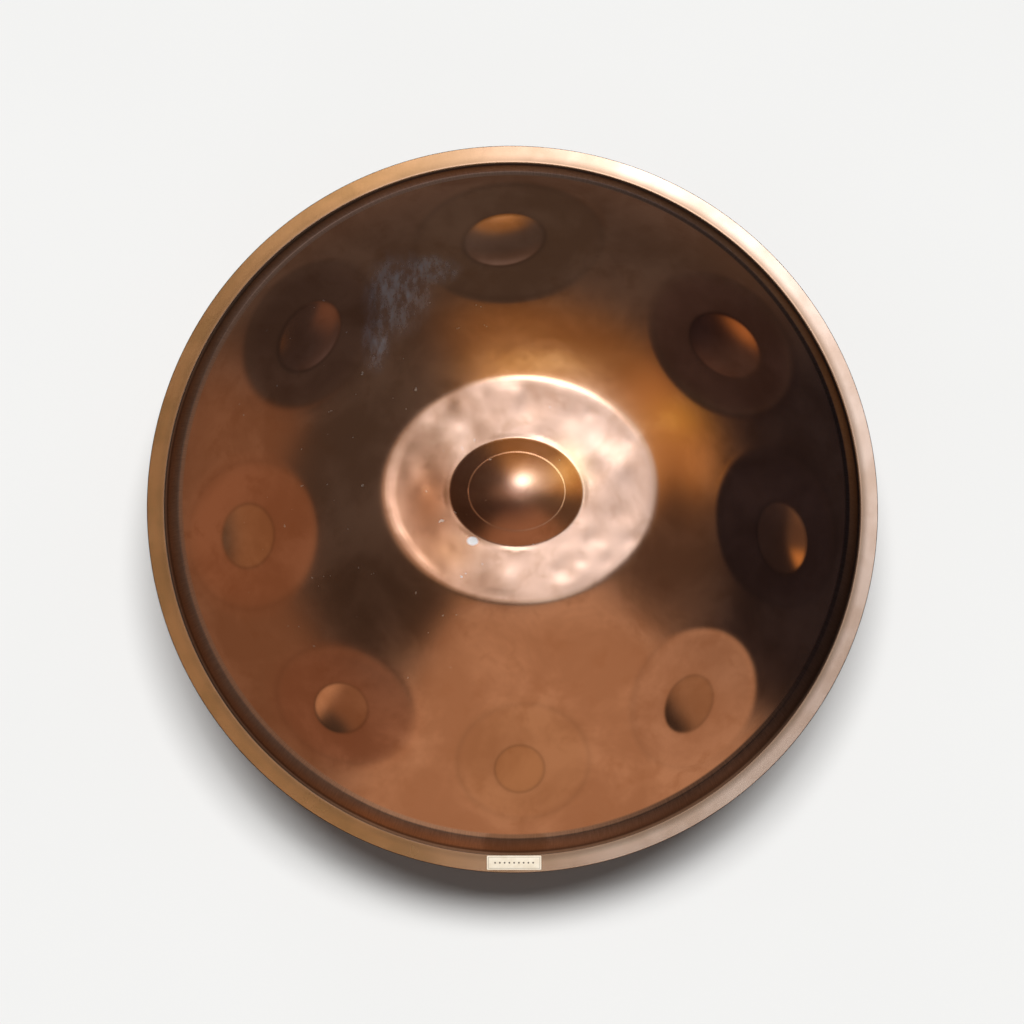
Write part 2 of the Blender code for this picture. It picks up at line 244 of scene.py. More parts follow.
def at_bearing(shape):
    """The ellipse of a tone field or a dimple."""
    bearing = math.radians(shape.bearing)
    centre = (shape.distance * math.sin(bearing), shape.distance * math.cos(bearing))
    return Ellipse(centre, shape.half_length, shape.half_width, math.radians(shape.tilt) - bearing)


DING = Ellipse(DING_CENTRE, DING_HALF_LENGTH, DING_HALF_WIDTH, 0)
BOSS = Ellipse(BOSS_CENTRE, BOSS_HALF_LENGTH, BOSS_HALF_WIDTH, 0)
FIELDS = [at_bearing(field) for field in TONE_FIELDS]
DIMPLES = [at_bearing(field.dimple) for field in TONE_FIELDS]


def smooth(value):
    """A smooth rise from 0 to 1."""
    value = np.clip(value, 0, 1)
    return value * value * (3 - 2 * value)


def soft_rise(value, softness):
    """The value where it is above 0, and 0 below, with a rounded corner."""
    return softness * np.logaddexp(0, value / softness)


def scattered_bumps(seed, count, extent, sizes, steepness):
    """Random round bumps in a rectangle: plan positions, radii and heights."""
    random = np.random.default_rng(seed)
    centres = random.uniform(-1, 1, (count, 2)) * extent
    radii = random.uniform(*sizes, count)
    return centres, radii, radii * random.normal(0, steepness, count)


HAMMER_MARKS = scattered_bumps(11, 340, (0.100, 0.085), (0.0040, 0.010), 0.018)
# Deeper hollows and swells of the plateau: plan position, radius and height
PLATEAU_DENTS = (
    (-0.080, 0.022, 0.018, -0.0004),
    (-0.080, -0.004, 0.019, -0.0005),
    (-0.070, -0.028, 0.019, -0.0005),
    (-0.052, -0.048, 0.018, -0.0004),
    (-0.022, 0.052, 0.020, 0.0003),
    (0.014, 0.060, 0.018, -0.0003),
    (0.050, 0.044, 0.017, -0.0003),
    (0.058, 0.000, 0.018, 0.0004),
    (0.030, -0.058, 0.018, 0.0003),
    (-0.014, -0.060, 0.016, 0.0003),
)
DOME_WAVES = scattered_bumps(5, 420, (0.24, 0.24), (0.010, 0.026), 0.0035)


def bump_height(bumps, spots):
    """Sum of the bumps at these plan points."""
    total = np.zeros(len(spots))
    for centre, radius, height in zip(*bumps):
        distance = np.sum(np.square(spots - centre), axis=1) / radius**2
        near = distance < 9
        total[near] += height * np.exp(-distance[near])
    return total


def flattening(outline, curvature_kept, crease, even_edge, edge_softness, spots):
    """How far a flattened ellipse lies below the plain dome.

    Its edge is a mix of a narrow step and an even corner, and even_edge is the share of the second.
    """
    centre_radius = math.hypot(*outline.centre)
    gradient = -outline.centre / math.sqrt(DOME_SPHERE_RADIUS**2 - centre_radius**2)

    def below_tangent(places):
        radius = np.minimum(np.hypot(*places.T), RIM_RADIUS)
        return dome_height(centre_radius) + (places - outline.centre) @ gradient - dome_height(radius)

    ends = np.array((outline.along, -outline.along)) * outline.half_length
    sides = np.array((outline.across, -outline.across)) * outline.half_width
    sagitta = below_tangent(outline.centre + np.concatenate((ends, sides))).mean()
    share = outline.share(spots)
    weight = smooth((1 + crease - share) / (2 * crease))
    stepped = weight * (sagitta - below_tangent(spots))
    even = sagitta * soft_rise(1 - np.square(share), edge_softness)
    return (1 - curvature_kept) * (stepped * (1 - even_edge) + even * even_edge)


def boss_height(spots):
    """Rise of the ding's dome over its plateau."""
    share = BOSS.share(spots)
    sloping_share = np.minimum(share, BOSS_LEDGE_INSIDE) + np.maximum(share - BOSS_LEDGE_OUTSIDE, 0)
    foot = math.hypot(1 - BOSS_LEDGE_OUTSIDE + BOSS_LEDGE_INSIDE, BOSS_ROUNDING)
    cone = (foot - np.hypot(sloping_share, BOSS_ROUNDING)) / (foot - BOSS_ROUNDING)
    return BOSS_HEIGHT * soft_rise(cone, BOSS_FOOT_SOFTNESS)


def flange_fall(radius):
    """How far the top flange has fallen at this radius."""
    way_out = (radius - FLANGE_INNER_RADIUS) / (RIM_RADIUS - FLANGE_INNER_RADIUS)
    return FLANGE_DROOP * np.clip(way_out, 0, 1)


def playing_surface(spots):
    """Outside of the top shell above its flange."""
    radius = np.hypot(*spots.T)
    points = np.column_stack((spots, shell_height(radius)))
    on_dome = smooth((DOME_EDGE_RADIUS - radius) / 0.02)
    hollows = np.array([dent[:2] for dent in PLATEAU_DENTS]), *np.array(PLATEAU_DENTS)[:, 2:].T
    plateau = smooth((1 - DING.share(spots)) / 0.12) * smooth((BOSS.share(spots) - 1) / 0.1)
    points[:, 2] -= flange_fall(radius)
    points[:, 2] -= flattening(DING, DING_CURVATURE_KEPT, DING_CREASE, 1.0, DING_EDGE_SOFTNESS, spots)
    points[:, 2] += boss_height(spots)
    points[:, 2] += plateau * (bump_height(HAMMER_MARKS, spots) + bump_height(hollows, spots))
    points[:, 2] += on_dome * bump_height(DOME_WAVES, spots)
    for outline, dimple, field in zip(FIELDS, DIMPLES, TONE_FIELDS):
        points[:, 2] -= flattening(outline, field.kept, field.crease, FIELD_EVEN_EDGE,
                                   FIELD_EDGE_SOFTNESS, spots)
        slope = outline.centre / DOME_SPHERE_RADIUS
        normal = np.array((*slope, math.sqrt(1 - slope @ slope)))
        bowl = soft_rise(1 - dimple.share(spots) ** 2, DIMPLE_EDGE_SOFTNESS)
        points -= np.outer(field.dimple.depth * bowl, normal)
    return points


def surface_normals(spots):
    """Directions out of the playing surface."""
    east, north = np.array((SLOPE_STEP, 0)), np.array((0, SLOPE_STEP))
    along_x = playing_surface(spots + east) - playing_surface(spots - east)
    along_y = playing_surface(spots + north) - playing_surface(spots - north)
    normals = np.cross(along_x, along_y)
    return normals / np.linalg.norm(normals, axis=1)[:, None]


def side_radii():
    """Radii from the rim to the dome's edge, close together where the sheet bends."""
    flange = np.linspace(RIM_RADIUS - EDGE_ROUNDING, FLANGE_INNER_RADIUS, 6)
    fillet = FLANGE_INNER_RADIUS - FILLET_RADIUS * np.sin(np.linspace(0, WALL_SLOPE, 8)[1:])
    wall = np.linspace(WALL_FOOT_RADIUS, WALL_TOP_RADIUS, 7)[1:]
    slopes = np.linspace(WALL_SLOPE, DOME_SLOPE, 6)[1:]
    knuckle = WALL_TOP_RADIUS - KNUCKLE_RADIUS * (math.sin(WALL_SLOPE) - np.sin(slopes))
    return np.concatenate((flange, fillet, wall, knuckle))


def circle(radius):
    """Evenly stepped plan points on a circle about the axis."""
    angles = np.linspace(0, math.tau, AROUND, endpoint=False)
    return radius * np.column_stack((np.cos(angles), np.sin(angles)))


def hexagon_grid(extent, step):
    """Plan points in a triangular pattern over a square."""
    rows = int(extent / (step * math.sqrt(0.75)))
    columns = int(extent / step)
    grid = []
    for row in range(-rows, rows + 1):
        across = (np.arange(-columns, columns + 1) + (row % 2) / 2) * step
        grid.append(np.column_stack((across, np.full(len(across), row * step * math.sqrt(0.75)))))
    return np.concatenate(grid)


def plan_points():
    """Plan points for the playing surface: rings along every crease, and a grid between them."""
    crease = (1.10, 1.07, 1.035, 1.0, 0.965, 0.93, 0.90)
    bowl = (1.1, 1.05, 1.02, 1.0, 0.98, 0.95, 0.9, 0.8, 0.68, 0.55, 0.42, 0.29, 0.16, 0.05)
    boss = (1.07, 1.04, 1.02, 1.0, 0.985, 0.96, 0.91, 0.85, 0.79, 0.75, 0.739, 0.727, 0.715, 0.70)
    boss_cap = (0.67, 0.6, 0.53, 0.46, 0.39, 0.32, 0.25, 0.18, 0.11, 0.04)
    points = [circle(radius) for radius in side_radii()]
    points += [outline.ring(share, 0.003) for outline in FIELDS for share in crease]
    points += [dimple.ring(share, 0.0018) for dimple in DIMPLES for share in bowl]
    points += [DING.ring(share, 0.0024) for share in crease]
    points += [BOSS.ring(share, 0.0016) for share in boss + boss_cap]
    grid = hexagon_grid(DOME_EDGE_RADIUS, COARSE_STEP)
    grid = grid[(np.hypot(*grid.T) < DOME_EDGE_RADIUS - 0.002) & (DING.share(grid) > 1.12)]
    for outline, dimple in zip(FIELDS, DIMPLES):
        grid = grid[(np.abs(outline.share(grid) - 1) > 0.12) & (dimple.share(grid) > 1.15)]
    fine = hexagon_grid(DING_HALF_LENGTH, FINE_STEP) + DING.centre
    fine = fine[(DING.share(fine) < 0.89) & (BOSS.share(fine) > 1.1)]
    return np.concatenate((*points, grid, fine))


# Colour of the top shell as shares of the plain bronze's red, green and blue: a whiter plateau, painted
# shade on the plateau's west side and on the dome, and a painted highlight on the dome's east side
DING_TINT = (1.00, 1.14, 1.40)
DING_WEST_PAINTED_SHADE = (1.08, 0.95, 0.86)
BOSS_PAINTED_SHADE = (0.68, 0.50, 0.38)
BOSS_EAST_PAINTED_HIGHLIGHT = (1.22, 1.32, 1.25)
PLATEAU_ROUGHNESS = 0.05
# Painted highlights and painted shade: small soft patches on and round the ding that lighten the colour
# where the steel catches the softbox and darken it where it faces dim surroundings; plan position, half
# size and colour share
PAINTED_LIGHT_PATCHES = (
    ((-0.061, -0.008), (0.017, 0.030), (0.74, 0.56, 0.40)),
    ((-0.048, -0.044), (0.018, 0.014), (1.12, 1.04, 0.88)),
    ((-0.052, 0.036), (0.025, 0.019), (1.14, 1.18, 1.20)),
    ((0.052, 0.026), (0.020, 0.016), (1.04, 1.08, 1.12)),
    ((-0.0010, 0.0035), (0.0105, 0.0095), (1.40, 1.75, 2.30)),
    ((-0.008, -0.015), (0.021, 0.012), (0.58, 0.57, 0.62)),
    ((0.034, 0.013), (0.011, 0.014), (1.70, 2.00, 1.60)),
    ((0.020, 0.088), (0.036, 0.010), (1.42, 1.62, 1.62)),
    ((0.107, -0.002), (0.011, 0.022), (0.68, 0.68, 0.74)),
    ((0.113, 0.051), (0.020, 0.015), (1.24, 1.38, 1.00)),
)
FIELD_TINT_SOFTNESS = 0.24
DIMPLE_TINT_SOFTNESS = 0.10
# Painted shade: dark rings along the creases at the edges of the fields and the dimples: strength and
# width
FIELD_CREASE_SHADE = (0.09, 0.045)
DIMPLE_CREASE_SHADE = (0.22, 0.07)
# Colour shares that make each tone field and each dimple lighter or darker
FIELD_TINTS = (
    (1.02, 1.05, 1.04),
    (0.74, 0.64, 0.68),
    (0.84, 0.84, 0.92),
    (0.98, 0.98, 1.00),
    (0.91, 0.90, 0.84),
    (1.02, 0.92, 0.90),
    (1.14, 1.02, 0.95),
    (0.66, 0.64, 0.68),
)
DIMPLE_TINTS = (
    (1.02, 1.04, 1.12),
    (1.25, 1.20, 1.15),
    (1.45, 1.35, 1.15),
    (0.76, 0.74, 0.68),
    (0.95, 0.92, 0.84),
    (1.10, 1.18, 1.14),
    (1.05, 1.14, 1.08),
    (0.95, 0.92, 0.95),
)


def tints_and_painted_light(spots):
    """Colour of the top shell at these plan points, as a share of the plain bronze: tints of the plateau,
    the fields and the dimples, painted shade and highlights on and round the ding, and painted shade
    along the creases.
    """
    tint_and_light = np.ones((len(spots), 3))
    # the plateau's tint, and painted shade over the ding's dome
    areas = [(DING, DING_TINT, 0.03), (BOSS, BOSS_PAINTED_SHADE, 0.02)]
    areas += [(outline, share, FIELD_TINT_SOFTNESS) for outline, share in zip(FIELDS, FIELD_TINTS)]
    areas += [(outline, share, DIMPLE_TINT_SOFTNESS) for outline, share in zip(DIMPLES, DIMPLE_TINTS)]
    for outline, colour_share, softness in areas:
        inside = smooth((1 + softness - outline.share(spots)) / (2 * softness))
        tint_and_light *= 1 + np.outer(inside, np.array(colour_share) - 1)
    # painted shade: the plateau's west side is browner
    west = smooth((-0.015 - spots[:, 0]) / 0.055) * smooth((0.03 - spots[:, 1]) / 0.04)
    west *= smooth((1.03 - DING.share(spots)) / 0.06)
    tint_and_light *= 1 + np.outer(west, np.array(DING_WEST_PAINTED_SHADE) - 1)
    # painted highlight: the dome's east side is lighter
    east = smooth((spots[:, 0] + spots[:, 1] + 0.012) / 0.03)
    east *= smooth((1.02 - BOSS.share(spots)) / 0.04)
    tint_and_light *= 1 + np.outer(east, np.array(BOSS_EAST_PAINTED_HIGHLIGHT) - 1)
    # painted highlights and painted shade in soft patches
    for centre, half_size, colour_share in PAINTED_LIGHT_PATCHES:
        inside = np.exp(-np.sum(np.square((spots - centre) / half_size), axis=1))
        tint_and_light *= 1 + np.outer(inside, np.array(colour_share) - 1)
    # painted shade along the creases of the fields and the dimples
    rings = [(outline, *FIELD_CREASE_SHADE) for outline in FIELDS]
    rings += [(outline, *DIMPLE_CREASE_SHADE) for outline in DIMPLES]
    for outline, strength, width in rings:
        ring = np.exp(-np.square((outline.share(spots) - 1.0) / width))
        tint_and_light *= 1 - strength * ring[:, None]
    return tint_and_light


def mesh_object(name, points, faces, material, normals=None):
    """A smooth-shaded object from arrays of points and faces."""
    mesh = bpy.data.meshes.new(name)
    mesh.from_pydata(points.tolist(), [], faces)
    mesh.materials.append(material)
    mesh.shade_smooth()
    if normals is None:
        mesh.set_sharp_from_angle(angle=math.radians(35))
    else:
        mesh.normals_split_custom_set_from_vertices(normals.tolist())
    item = bpy.data.objects.new(name, mesh)
    bpy.context.scene.collection.objects.link(item)
    return item


def make_top_shell(material):
    """The playing side as a closed sheet: outside, inside and a rounded rim edge between them."""
    vectors = [Vector(spot) for spot in plan_points().tolist()]
    plan, _, faces, _, _, _ = delaunay_2d_cdt(vectors, [], [], 0, 1e-7)
    spots = np.array([tuple(spot) for spot in plan])
    normals = surface_normals(spots)
    outside = playing_surface(spots) + (0, 0, TOP_FLANGE_Z)
    inside = outside - normals * SHEET
    inside[:, 2] = np.maximum(inside[:, 2], TOP_FLANGE_Z - SHEET)
    count = len(spots)
    rim = np.flatnonzero(np.hypot(*spots.T) > RIM_RADIUS - EDGE_ROUNDING * 1.5)
    rim = rim[np.argsort(np.arctan2(spots[rim, 1], spots[rim, 0]))]
    ways_out = spots[rim] / np.hypot(*spots[rim].T)[:, None]
    bands = []
    for share in (0.3, 0.7):
        depth = FLANGE_DROOP + (SHEET - FLANGE_DROOP) * share
        bands.append(np.column_stack((ways_out * RIM_RADIUS, np.full(len(rim), TOP_FLANGE_Z - depth))))
    upper_band = 2 * count + np.arange(len(rim))
    rings = [rim, upper_band, upper_band + len(rim), count + rim]
    all_faces = [tuple(face) for face in faces]
    all_faces += [tuple(count + corner for corner in reversed(face)) for face in faces]
    for upper, lower in zip(rings, rings[1:]):
        for here in range(len(rim)):
            there = (here + 1) % len(rim)
            all_faces.append((upper[here], lower[here], lower[there], upper[there]))
    flat_out = np.column_stack((ways_out, np.zeros(len(rim))))
    all_normals = np.concatenate((normals, -normals, flat_out, flat_out))
    points = np.concatenate((outside, inside, *bands))
    item = mesh_object("top_shell_steel", points, all_faces, material, all_normals)
    # the tint's first three values hold the tints with painted shade and highlights, and its fourth value
    # is extra roughness
    tint_and_light = item.data.color_attributes.new("steel_tint", "FLOAT_COLOR", "POINT")
    colours = np.ones((len(points), 4))
    colours[:count, :3] = tints_and_painted_light(spots)
    colours[:count, 3] = PLATEAU_ROUGHNESS * smooth((1.0 - DING.share(spots)) / 0.06)
    tint_and_light.data.foreach_set("color", colours.ravel())
    return item


def revolve(name, outline, material):
    """A closed outline of radius and height, anticlockwise, turned round the Z axis."""
    angles = np.linspace(0, math.tau, AROUND, endpoint=False)
    rings = len(outline)
    radii, heights = np.array(outline).T
    x = np.outer(np.cos(angles), radii)
    y = np.outer(np.sin(angles), radii)
    z = np.tile(heights, (AROUND, 1))
    points = np.stack((x, y, z), axis=-1).reshape(-1, 3)
    faces = []
    for turn in range(AROUND):
        here, there = turn * rings, (turn + 1) % AROUND * rings
        for ring in range(rings):
            after = (ring + 1) % rings
            faces.append((here + ring, there + ring, there + after, here + after))
    return mesh_object(name, points, faces, material)


def bottom_outside():
    """Outside of the bottom shell from the rim to the neck's end, with heights from its flange."""
    radii = side_radii()
    points = list(zip(radii, shell_height(radii)))
    dome_radii = np.linspace(DOME_EDGE_RADIUS, PORT_BLEND_RADIUS, 60)[1:]
    points += list(zip(dome_radii, dome_height(dome_radii)))
    blend_slope = math.asin(PORT_BLEND_RADIUS / DOME_SPHERE_RADIUS)
    blend_arc = (PORT_BLEND_RADIUS - REST_OUTER_RADIUS) / math.sin(blend_slope)
    rest = dome_height(PORT_BLEND_RADIUS) + blend_arc * (1 - math.cos(blend_slope))
    for slope in np.linspace(blend_slope, 0, 9)[1:]:
        radius = REST_OUTER_RADIUS + blend_arc * math.sin(slope)
        points.append((radius, rest - blend_arc * (1 - math.cos(slope))))
    for angle in np.linspace(0, math.pi / 2, 12):
        radius = PORT_LIP_CENTRE_RADIUS - PORT_LIP_RADIUS * math.sin(angle)
        points.append((radius, rest - PORT_LIP_RADIUS * (1 - math.cos(angle))))
    neck_radius = PORT_LIP_CENTRE_RADIUS - PORT_LIP_RADIUS + NECK_TAPER
    points.append((neck_radius, rest - NECK_LENGTH))
    return np.array(points)


def make_bottom_shell(material):
    """The underside, with its resting ring and the neck of its sound port."""
    outside = bottom_outside()
    along = np.gradient(outside, axis=0)
    inward = np.column_stack((-along[:, 1], along[:, 0]))
    inward /= np.linalg.norm(inward, axis=1)[:, None]
    inward[0] = (0, -1)
    inside = outside + inward * SHEET
    edge = [(RIM_RADIUS, SHEET * -0.2), (RIM_RADIUS, SHEET * -0.8)]
    outline = np.concatenate((outside, inside[::-1], np.array(edge)[::-1]))
    outline[:, 1] = BOTTOM_FLANGE_Z - outline[:, 1]
    return revolve("bottom_shell_steel", outline[::-1], material)


def make_bead(material):
    """The glue line between the flanges, with a rounded outer edge and a slightly uneven run."""
    low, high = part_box("rim_adhesive_bead")
    half = (high.z - low.z) / 2
    outline = [(BEAD_INNER_RADIUS, low.z), (high.x - half, low.z)]
    for angle in np.linspace(-math.pi / 2, math.pi / 2, 9)[1:-1]:
        outline.append((high.x - half + half * math.cos(angle), low.z + half + half * math.sin(angle)))
    outline += [(high.x - half, high.z), (BEAD_INNER_RADIUS, high.z)]
    return revolve("rim_glue_line", outline, material)


def rounded_rectangle(half_length, half_width, corner):
    """Plan points round a rectangle with rounded corners, anticlockwise."""
    points = []
    for quarter in range(4):
        angles = np.linspace(0, math.pi / 2, 9) + quarter * math.pi / 2
        middle = (quarter + 0.5) * math.pi / 2
        sides = np.sign((math.cos(middle), math.sin(middle)))
        centre = sides * (half_length - corner, half_width - corner)
        points.append(centre + corner * np.column_stack((np.cos(angles), np.sin(angles))))
    return np.concatenate(points)


def make_slab(name, node, layers, material):
    """A rounded slab where a CAD node is, from layers of inset and share of its height.

    Layers below it lie along the flange.
    """
    low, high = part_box(node)
    size = (high - low) / 2
    centre = (high + low) / 2
    points, faces = [], []
    for inset, level in layers:
        ring = rounded_rectangle(size.x - inset, size.y - inset, PLATE_CORNER_RADIUS - inset)
        heights = np.full(len(ring), low.z + (high.z - low.z) * level)
        ring = np.column_stack((ring + (centre.x, centre.y), heights))
        if level < 0:
            ring[:, 2] -= flange_fall(np.hypot(*ring[:, :2].T))
        points.append(ring)
    count = len(points[0])
    for layer in range(len(layers) - 1):
        for here in range(count):
            there = (here + 1) % count
            below, above = layer * count, (layer + 1) * count
            faces.append((below + here, below + there, above + there, above + here))
    faces.append(tuple(reversed(range(count))))
    faces.append(tuple((len(layers) - 1) * count + here for here in range(count)))
    return mesh_object(name, np.concatenate(points), faces, material)


class Graph:
    """Short ways to add nodes to a node tree."""

    def __init__(self, tree):
        self.tree = tree
        tree.nodes.clear()

    def add(self, kind, settings=(), **inputs):
        """A node with its settings, and its inputs set or linked by name."""
        node = self.tree.nodes.new(kind)
        for key, value in dict(settings).items():
            setattr(node, key, value)
        for key, value in inputs.items():
            self.put(node, key.replace("_", " "), value)
        return node

    def put(self, node, key, value):
        """Set an input, or link it where the value is another node's output."""
        socket = node.inputs[key]
        if isinstance(value, bpy.types.NodeSocket):
            self.tree.links.new(value, socket)
        else:
            socket.default_value = value

    def maths(self, operation, first, second=0.0, third=0.0):
        node = self.add("ShaderNodeMath", {"operation": operation})
        for index, value in enumerate((first, second, third)):
            self.put(node, index, value)
        return node.outputs[0]

    def length(self, across, along):
        """Length of a vector in a plane."""
        squares = (self.maths("MULTIPLY", side, side) for side in (across, along))
        return self.maths("SQRT", self.maths("ADD", *squares))

    def rise(self, value, start, end, low=0.0, high=1.0):
        """A smooth change from low to high while the value goes from start to end."""
        node = self.add("ShaderNodeMapRange", {"interpolation_type": "SMOOTHSTEP"})
        for index, number in enumerate((value, start, end, low, high)):
            self.put(node, index, number)
        return node.outputs[0]

    def window(self, value, start, end, softness):
        """1 between start and end, 0 outside."""
        opening = self.rise(value, start - softness, start + softness)
        closing = self.rise(value, end - softness, end + softness, 1.0, 0.0)
        return self.maths("MULTIPLY", opening, closing)

    def mix(self, factor, first, second, blend="MIX"):
        node = self.add("ShaderNodeMix", {"data_type": "RGBA", "blend_type": blend})
        self.put(node, 0, factor)
        self.put(node, 6, first)
        self.put(node, 7, second)
        return node.outputs[2]

    def noise(self, place, scale, detail=3.0, roughness=0.5, distortion=0.0):
        node = self.add("ShaderNodeTexNoise", Scale=scale, Detail=detail, Roughness=roughness,
                        Distortion=distortion)
        self.put(node, "Vector", place)
        return node.outputs["Fac"]

    def place(self):
        """Object coordinates, which are metres in the model's frame."""
        return self.add("ShaderNodeTexCoord").outputs["Object"]

    def stretched(self, place, scale):
        """The place, scaled differently along each axis."""
        node = self.add("ShaderNodeVectorMath", {"operation": "MULTIPLY"})
        self.put(node, 0, place)
        self.put(node, 1, scale)
        return node.outputs[0]


def new_material(name):
    """A material and the graph to build its nodes with."""
    material = bpy.data.materials.new(name)
    material.use_nodes = True
    return material, Graph(material.node_tree)


def finish_surface(graph, **inputs):
    """Principled shader and output."""
    shader = graph.add("ShaderNodeBsdfPrincipled", **inputs)
    output = graph.add("ShaderNodeOutputMaterial")
    graph.tree.links.new(shader.outputs[0], output.inputs[0])


def polar(graph, place):
    """Radius and angle about the Z axis."""
    split = graph.add("ShaderNodeSeparateXYZ", Vector=place)
    x, y, z = split.outputs
    return graph.length(x, y), graph.maths("ARCTAN2", y, x), x, y, z


def spot_mask(graph, x, y, centre, half_size, softness):
    """1 inside an upright ellipse in plan, 0 outside."""
    across = graph.maths("DIVIDE", graph.maths("SUBTRACT", x, centre[0]), half_size[0])
    along = graph.maths("DIVIDE", graph.maths("SUBTRACT", y, centre[1]), half_size[1])
    return graph.rise(graph.length(across, along), 1 - softness, 1 + softness, 1.0, 0.0)


def dome_bronze(graph, place, clouds, tone):
    """Satin bronze, cloudy on a large and on a small scale."""
    patches = graph.noise(place, 55.0, 3.0, 0.6, 0.3)
    dark = (0.535 * tone, 0.285 * tone, 0.168 * tone, 1)
    bright = (0.685 * tone, 0.392 * tone, 0.249 * tone, 1)
    brown = (0.50 * tone, 0.25 * tone, 0.135 * tone, 1)
    bronze = graph.mix(graph.rise(clouds, 0.38, 0.64), dark, bright)
    return graph.mix(graph.rise(patches, 0.50, 0.75, 0.0, 0.5), bronze, brown)


def worn_bronze(graph, place, x, y, bronze):
    """The bronze with its rubbed patches and small chips, and how worn each place is."""
    fibres = graph.noise(graph.stretched(place, (150.0, 60.0, 60.0)), 1.0, 5.0, 0.7)
    rubbed = graph.rise(fibres, 0.36, 0.70, 0.12, 1.0)
    scuffs = 0.0
    for centre, half_size in SCUFFS:
        scuff = graph.maths("MULTIPLY", spot_mask(graph, x, y, centre, half_size, 0.5), rubbed)
        scuffs = graph.maths("MAXIMUM", scuffs, scuff)
    bronze = graph.mix(graph.maths("MULTIPLY", scuffs, 0.85), bronze, (0.58, 0.60, 0.70, 1))
    chips = graph.rise(graph.noise(place, 190.0, 2.0, 0.5), 0.735, 0.76)
    chips = graph.maths("MULTIPLY", chips, spot_mask(graph, x, y, *CHIPPED_AREA, 0.2))
    chips = graph.maths("MULTIPLY", chips, 0.7)
    chips = graph.maths("MAXIMUM", chips, spot_mask(graph, x, y, *DING_CHIP, 0.25))
    bronze = graph.mix(graph.maths("MULTIPLY", chips, 0.9), bronze, (0.93, 0.91, 0.88, 1))
    return bronze, graph.maths("MAXIMUM", scuffs, chips)


def sanded_flange(graph, place, radius, x, y):
    """Sanded steel with painted light: a shaded gold side on the left and a lit silver side on the right,
    painted shade at the back right that tones down the lamp's highlight, and darker beside the wall.
    """
    # painted light: the gold left and the silver right are a shaded and a lit copy of the sanded steel
    side = graph.rise(graph.maths("DIVIDE", x, radius), -0.45, 0.5)
    worn = graph.rise(graph.noise(place, 30.0), 0.4, 0.65)
    gold = graph.mix(worn, (0.50, 0.265, 0.12, 1), (0.41, 0.22, 0.095, 1))
    silver = graph.mix(worn, (0.64, 0.465, 0.375, 1), (0.55, 0.38, 0.29, 1))
    sanded = graph.mix(side, gold, silver)
    # painted shade towards the back right, where the lamp's highlight falls
    facing = graph.maths("ADD", graph.maths("MULTIPLY", x, 0.5 / RIM_RADIUS),
                         graph.maths("MULTIPLY", y, 0.87 / RIM_RADIUS))
    sanded = graph.mix(graph.rise(facing, 0.45, 0.85, 0.0, 0.24), sanded, (0.10, 0.075, 0.08, 1))
    # darker in a band beside the wall, more on the silver side
    beside_wall = graph.rise(radius, FLANGE_INNER_RADIUS, FLANGE_INNER_RADIUS + FLANGE_DARK_BAND_WIDTH, 1.0, 0.0)
    beside_wall = graph.maths("MULTIPLY", beside_wall, graph.maths("ADD", graph.maths("MULTIPLY", side, 0.45), 0.3))
    return graph.mix(beside_wall, sanded, (0.17, 0.10, 0.06, 1))


def streaked_wall(graph, radius, angle, x, z):
    """Upright streaks on the wall, darker to the right."""
    around = graph.add("ShaderNodeCombineXYZ", X=graph.maths("MULTIPLY", angle, 230.0),
                       Y=graph.maths("MULTIPLY", z, 60.0)).outputs[0]
    streaks = graph.rise(graph.noise(around, 1.0, 4.0, 0.7), 0.3, 0.72)
    streaked = graph.mix(streaks, (0.50, 0.34, 0.26, 1), (0.66, 0.47, 0.36, 1))
    shaded = graph.mix(streaks, (0.13, 0.085, 0.065, 1), (0.22, 0.15, 0.12, 1))
    return graph.mix(graph.rise(graph.maths("DIVIDE", x, radius), -0.2, 0.6), streaked, shaded)


